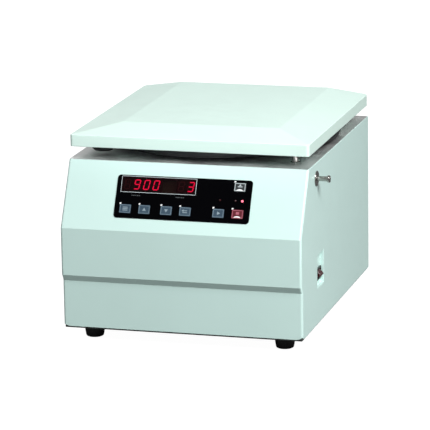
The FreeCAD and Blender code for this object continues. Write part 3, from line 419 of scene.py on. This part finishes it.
def on_panel(point):
    """A CAD point's sideways and uphill places on the panel, from its middle."""
    offset = Vector(point) - PANEL_MIDDLE
    return offset.x, offset.dot(UPHILL)


def put_on_panel(name, mesh, material, body="housing"):
    """Keep a mesh that was drawn in flat coordinates about the panel's middle."""
    mesh.transform(panel_matrix())
    return keep(name, mesh, body, material)


def middle(node):
    low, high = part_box(node)
    return (low + high) / 2


# ---------------------------------------------------------------- display
SEGMENTS_OF = {"0": "abcdef", "3": "abcdg", "8": "abcdefg", "9": "abcdfg"}
DIGIT_H = 11.6 * MM
DIGIT_W = 6.4 * MM
BAR = 1.35 * MM
LEAN = math.tan(math.radians(9))
PITCH = 12.4 * MM
BAR_GAP = 0.12 * MM       # what a bar leaves free at each end
SEGMENT_LIFT = (-0.86 * MM, -0.815 * MM)


def bar(x, y, length, upright):
    """One segment: a bar with pointed ends, leaning with the digit."""
    half, t = length / 2 - BAR_GAP, BAR / 2
    points = [(-half, 0), (-half + t, t), (half - t, t), (half, 0), (half - t, -t), (-half + t, -t)]
    if upright:
        points = [(-py, px) for px, py in points]
    return [(x + px + (y + py) * LEAN, y + py) for px, py in points]


def digit_bars():
    """Each segment's letter, with its middle, its length and whether it stands upright."""
    w, h = DIGIT_W / 2, DIGIT_H / 2
    return {
        "a": (0, h, DIGIT_W, False), "g": (0, 0, DIGIT_W, False), "d": (0, -h, DIGIT_W, False),
        "b": (w, h / 2, h, True), "c": (w, -h / 2, h, True),
        "f": (-w, h / 2, h, True), "e": (-w, -h / 2, h, True),
    }


def show_number(node, text):
    """Light the digits of one display module; a space leaves its digit dark."""
    x, y = on_panel(middle(node))
    start = x - PITCH * (len(text) - 1) / 2
    glowing, dark = [], []
    for place, symbol in enumerate(text):
        for key, values in digit_bars().items():
            piece = shifted(slab(bar(*values), *SEGMENT_LIFT), start + place * PITCH, y)
            (glowing if key in SEGMENTS_OF.get(symbol, "") else dark).append(piece)
    put_on_panel(node + "_lit", joined(glowing), SEGMENT_LIT)
    put_on_panel(node + "_dark", joined(dark), SEGMENT_DARK)


show_number("speed_digits", " 900")
show_number("time_digits", " 3")

# ---------------------------------------------------------------- prints on the panel, and painted highlights by the keys
INK = 0.03 * MM
WINDOW_SIZE = (96.0 * MM, 20.0 * MM)
OUTLINE_MARGIN = 1.0 * MM
OUTLINE_LINE = 0.55 * MM
OUTLINE_RADIUS = 0.4 * MM
window_x, window_y = on_panel(middle("display_window"))
outline = frame_slab(WINDOW_SIZE[0] + OUTLINE_MARGIN, WINDOW_SIZE[1] + OUTLINE_MARGIN, OUTLINE_LINE,
                     OUTLINE_RADIUS, 0, INK)
put_on_panel("window_outline", shifted(outline, window_x, window_y), PRINT_PALE)

# Under each number a row of plain dashes stands where the photo has small lettering.
LABEL_DROP = 14.4 * MM
LABEL_START = -11 * MM
DASH_PITCH = 2.4 * MM
DASH_WIDTHS = (1.3 * MM, 1.9 * MM, 1.3 * MM, 1.9 * MM, 1.3 * MM)
DASH_H = 1.1 * MM
DASH_RADIUS = 0.2 * MM
dashes = []
for node in ("speed_digits", "time_digits"):
    x, y = on_panel(middle(node))
    for k, width in enumerate(DASH_WIDTHS):
        dash = slab(round_box(width, DASH_H, DASH_RADIUS), 0, INK)
        dashes.append(shifted(dash, x + LABEL_START + k * DASH_PITCH, y - LABEL_DROP))
put_on_panel("window_marks", joined(dashes), PRINT_GREY)

KEY_SIZE = (14.6 * MM, 11.2 * MM)
KEY_TOP = 0.7 * MM
KEY_EDGE = 0.35 * MM      # rounding of the keys' edges
DISH_Z = 0.45 * MM        # height of the dished face that carries the symbol
RIM_INSET = 1.1 * MM
RIM_LINE = 0.75 * MM
RIM_RADIUS = 0.6 * MM
STROKE_RADIUS = 0.3 * MM
# Painted highlight: a small white glint patch beside each key's top-left corner, standing in for light caught by
# the embossed corner.
GLINT_SIZE = (2.6 * MM, 1.8 * MM, 0.8 * MM)
GLINT_OFFSET = (0.4 * MM, 1.25 * MM)    # in from the key's left edge, up from its upper edge
GLINT_TURN = math.radians(20)
# Painted highlight: a white arch of glare under the stop and lid keys.
GLARE_ARCH = (6.2 * MM, 1.9 * MM, 50)
GLARE_DROP = 8.6 * MM


def triangle(size, turn):
    """An even triangle that points towards the angle turn."""
    corners = [math.radians(turn + step) for step in (0, 120, 240)]
    return [(size * math.cos(corner), size * math.sin(corner)) for corner in corners]


def stroke(width, height):
    return round_box(width * MM, height * MM, STROKE_RADIUS)


# Each key's symbol: shapes with their places from the key's middle.
ICONS = {
    "key_mode": [(stroke(6.4, 1.0), 0, dy * MM) for dy in (-1.9, 0, 1.9)],
    "key_up": [(triangle(2.7 * MM, 90), 0, -0.3 * MM)],
    "key_down": [(triangle(2.7 * MM, -90), 0, 0.3 * MM)],
    "key_enter": [
        (stroke(6.0, 1.0), 0, -1.3 * MM),
        (triangle(1.9 * MM, 180), -2.6 * MM, 1.1 * MM),
        (stroke(4.6, 0.9), 0.6 * MM, 1.1 * MM),
    ],
    "key_start": [(triangle(2.6 * MM, 0), 0, 0)],
    "key_stop": [(round_box(4.2 * MM, 3.2 * MM, 0.4 * MM), 0, 1.2 * MM)],
    "key_lid": [(stroke(6.0, 1.0), 0, 0.6 * MM), (triangle(1.7 * MM, 90), 0, 2.7 * MM)],
}
OWN_INK = {"key_stop": PRINT_PINK, "key_lid": PRINT_PALE}
for key, marks in ICONS.items():
    kx, ky = on_panel(middle(key))
    soften(key, KEY_EDGE, 3)
    body = BODY_OF[key]
    rim = frame_slab(KEY_SIZE[0] - RIM_INSET, KEY_SIZE[1] - RIM_INSET, RIM_LINE, RIM_RADIUS, KEY_TOP,
                     KEY_TOP + INK)
    put_on_panel(key + "_edge", shifted(rim, kx, ky), OWN_INK.get(key, PRINT_BLUE), body)
    icon = joined([shifted(slab(shape, DISH_Z, DISH_Z + INK), kx + dx, ky + dy) for shape, dx, dy in marks])
    put_on_panel(key + "_icon", icon, OWN_INK.get(key, PRINT_ICON), body)
    # Each key gets a painted glint: a white patch by its top-left corner, where its embossed corner catches the
    # light.
    glint_x = kx - KEY_SIZE[0] / 2 + GLINT_OFFSET[0]
    glint_y = ky + KEY_SIZE[1] / 2 + GLINT_OFFSET[1]
    spot = shifted(slab(round_box(*GLINT_SIZE), 0, INK * 2), glint_x, glint_y, GLINT_TURN)
    put_on_panel(key + "_painted_glint", spot, PAINTED_HIGHLIGHT)
# The stop and lid keys get a painted glare: a white arch under each, standing in for a reflection on the key.
for key in OWN_INK:
    kx, ky = on_panel(middle(key))
    glare = shifted(slab(crescent(*GLARE_ARCH), KEY_TOP, KEY_TOP + INK * 1.5), kx, ky - GLARE_DROP)
    put_on_panel(key + "_painted_glare", glare, PAINTED_HIGHLIGHT, BODY_OF[key])

# The last lamp in the row is lit: a small cap of light over its dome.
lamps_low, lamps_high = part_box("indicator_lamps")
LAMP_R = 1.4 * MM
CAP_GROWTH = 1.04         # the cap's radius over the lamp's
CAP_FOOT = -0.05 * MM     # what lies lower than this is cut off the cap's sphere
LAMP_ROW = 1.0 * MM       # uphill from the panel's middle
glow = bmesh.new()
bmesh.ops.create_uvsphere(glow, u_segments=24, v_segments=12, radius=LAMP_R * CAP_GROWTH)
bmesh.ops.delete(glow, geom=[v for v in glow.verts if v.co.z < CAP_FOOT], context="VERTS")
bmesh.ops.holes_fill(glow, edges=glow.edges)
cap = bpy.data.meshes.new("cap")
glow.to_mesh(cap)
glow.free()
lamp_x = on_panel((lamps_high.x - LAMP_R, lamps_low.y, lamps_low.z))[0]
put_on_panel("lamp_lit", shifted(cap, lamp_x, LAMP_ROW), LAMP_LIT)

# ---------------------------------------------------------------- the shells, with rounded edges
EDGE_MM = {
    "casing_shell": 0.8, "lid_shell": 1.3, "rear_panel": 0.3, "switch_pocket": 0.5, "switch_frame": 0.5,
    "rocker": 0.6, "mains_inlet": 0.35, "fuse_drawer": 0.25, "panel_overlay": 0.25,
    "hinge_base_left": 0.35, "hinge_base_right": 0.35, "hinge_leaf_left": 0.35, "hinge_leaf_right": 0.35,
    "pull_rod": 0.2, "rod_escutcheon": 0.15, "base_plate": 0.4, "rotor_nut": 0.4,
}
for node, width in EDGE_MM.items():
    soften(node, width * MM)

# ---------------------------------------------------------------- latch spring
spring_low, spring_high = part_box("latch_spring")
SPRING_TURNS = 5
TURN_STEPS = 20
WIRE_R = 0.4 * MM
coil = bpy.data.curves.new("coil", "CURVE")
coil.dimensions = "3D"
coil.bevel_depth = WIRE_R
coil.bevel_resolution = 3
line = coil.splines.new("POLY")
line.points.add(SPRING_TURNS * TURN_STEPS)
coil_r = (spring_high.z - spring_low.z) / 2 - WIRE_R
spring_middle = (spring_low + spring_high) / 2
for k, point in enumerate(line.points):
    angle = 2 * math.pi * k / TURN_STEPS
    share = k / (SPRING_TURNS * TURN_STEPS)
    x = spring_low.x + WIRE_R + share * (spring_high.x - spring_low.x - 2 * WIRE_R)
    y = spring_middle.y + coil_r * math.cos(angle)
    z = spring_middle.z + coil_r * math.sin(angle)
    point.co = (x, y, z, 1)
coil_curve = bpy.data.objects.new("coil_curve", coil)
bpy.context.scene.collection.objects.link(coil_curve)
bpy.context.view_layer.update()
graph = bpy.context.evaluated_depsgraph_get()
coil_mesh = bpy.data.meshes.new_from_object(coil_curve.evaluated_get(graph))
bpy.data.objects.remove(coil_curve)
spring = keep("latch_spring_coil", coil_mesh, "housing", FINISH["spring_steel"])
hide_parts("latch_spring")
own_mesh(spring)

# ---------------------------------------------------------------- finishes on the CAD nodes that stay
for node, piece in NODES.items():
    material = FINISH[SLOT_OF[node]]
    piece.data.materials.clear()
    piece.data.materials.append(material)

# ---------------------------------------------------------------- floor, light and camera
FLOOR = 6.0
floor_corners = [(-FLOOR, -FLOOR, 0), (FLOOR, -FLOOR, 0), (FLOOR, FLOOR, 0), (-FLOOR, FLOOR, 0)]
floor_mesh = bpy.data.meshes.new("floor")
floor_mesh.from_pydata(floor_corners, [], [(0, 1, 2, 3)])
floor = bpy.data.objects.new("floor", floor_mesh)
bpy.context.scene.collection.objects.link(floor)
floor_paint = coated("floor_paint", (0.93, 0.93, 0.93), 0.7, 40, 0.00005, 0.01, specular=0.1)
floor_mesh.materials.append(floor_paint)
# The floor looks white to the camera but throws little light back, as a grey studio table would.
FLOOR_BOUNCE = (0.15, 0.15, 0.15, 1)
FLOOR_SEEN = (0.18, 0.18, 0.18, 1)
FLOOR_GLOW = 0.98
tree = floor_paint.node_tree
seen = tree.nodes.new("ShaderNodeLightPath").outputs["Is Camera Ray"]
bounce = tree.nodes.new("ShaderNodeMix")
bounce.data_type = "RGBA"
bounce.inputs["A"].default_value = FLOOR_BOUNCE
bounce.inputs["B"].default_value = FLOOR_SEEN
tree.links.new(seen, bounce.inputs["Factor"])
tree.links.new(bounce.outputs["Result"], tree.nodes["Principled BSDF"].inputs["Base Color"])
glow_of = tree.nodes.new("ShaderNodeMapRange")
glow_of.inputs["To Max"].default_value = FLOOR_GLOW
tree.links.new(seen, glow_of.inputs["Value"])
tree.links.new(glow_of.outputs["Result"], tree.nodes["Principled BSDF"].inputs["Emission Strength"])
tree.nodes["Principled BSDF"].inputs["Emission Color"].default_value = (1, 1, 1, 1)

AMBIENT = 0.30
world = bpy.data.worlds.new("studio")
world.use_nodes = True
sky = world.node_tree.nodes["Background"]
sky.inputs["Color"].default_value = (1, 1, 1, 1)
level_of = world.node_tree.nodes.new("ShaderNodeMapRange")
level_of.inputs["To Min"].default_value = AMBIENT
level_of.inputs["To Max"].default_value = 1.0
world_path = world.node_tree.nodes.new("ShaderNodeLightPath")
world.node_tree.links.new(world_path.outputs["Is Camera Ray"], level_of.inputs["Value"])
world.node_tree.links.new(level_of.outputs["Result"], sky.inputs["Strength"])
bpy.context.scene.world = world


def softbox(name, place, target, size, power):
    light = bpy.data.lights.new(name, "AREA")
    light.shape = "RECTANGLE"
    light.size, light.size_y = size
    light.energy = power
    lamp = bpy.data.objects.new(name, light)
    lamp.location = place
    lamp.rotation_euler = (Vector(target) - Vector(place)).to_track_quat("-Z", "Y").to_euler()
    bpy.context.scene.collection.objects.link(lamp)


MIDDLE = Vector((0, 0, 0.15))
LIGHT_DISTANCE = 2.6
for name, direction, size, power in (
    ("key_light", (0.59, -0.50, 0.64), (1.0, 1.0), 92),
    ("back_light", (-0.68, 0.62, 0.38), (1.2, 1.2), 26),
):
    softbox(name, MIDDLE + Vector(direction) * LIGHT_DISTANCE, MIDDLE, size, power)

# A shaded lamp straight ahead lights the lid: its lower edge falls at the top of the sloped panel.
BEAM_PLACE = Vector((0.1, -2.6, 0.75))
BEAM_REACH = 2.45
BEAM_HALF = 0.535         # half the beam's height at that reach
beam = bpy.data.lights.new("front_lamp", "SPOT")
beam.energy = 70
beam.color = (0.9, 0.97, 1.0)
beam.spot_size = 2 * math.atan(BEAM_HALF / BEAM_REACH)
beam.spot_blend = 0.08
beam.shadow_soft_size = 0.05
front_lamp = bpy.data.objects.new("front_lamp", beam)
front_lamp.location = BEAM_PLACE
front_lamp.rotation_euler = Vector((-BEAM_PLACE.x, BEAM_REACH, 0)).to_track_quat("-Z", "Y").to_euler()
bpy.context.scene.collection.objects.link(front_lamp)

# The camera was solved from the casing's straight edges in the photo.
EYE = Vector((1.0176, -3.6065, 1.0415))
YAW, TILT, ROLL = (math.radians(a) for a in (15.85, -13.71, -0.9))
forward = Vector((
    -math.sin(YAW) * math.cos(TILT),
    math.cos(YAW) * math.cos(TILT),
    math.sin(TILT),
))
level = Vector((math.cos(YAW), math.sin(YAW), 0))
upright = level.cross(forward)
right = level * math.cos(ROLL) + upright * math.sin(ROLL)
up = upright * math.cos(ROLL) - level * math.sin(ROLL)
camera_data = bpy.data.cameras.new("camera")
camera_data.sensor_width = 36.0
camera_data.lens = 249.6
camera = bpy.data.objects.new("camera", camera_data)
camera.matrix_world = Matrix((
    (right.x, up.x, -forward.x, EYE.x),
    (right.y, up.y, -forward.y, EYE.y),
    (right.z, up.z, -forward.z, EYE.z),
    (0, 0, 0, 1),
))
bpy.context.scene.collection.objects.link(camera)
bpy.context.scene.camera = camera
bpy.context.scene.view_settings.view_transform = "Standard"
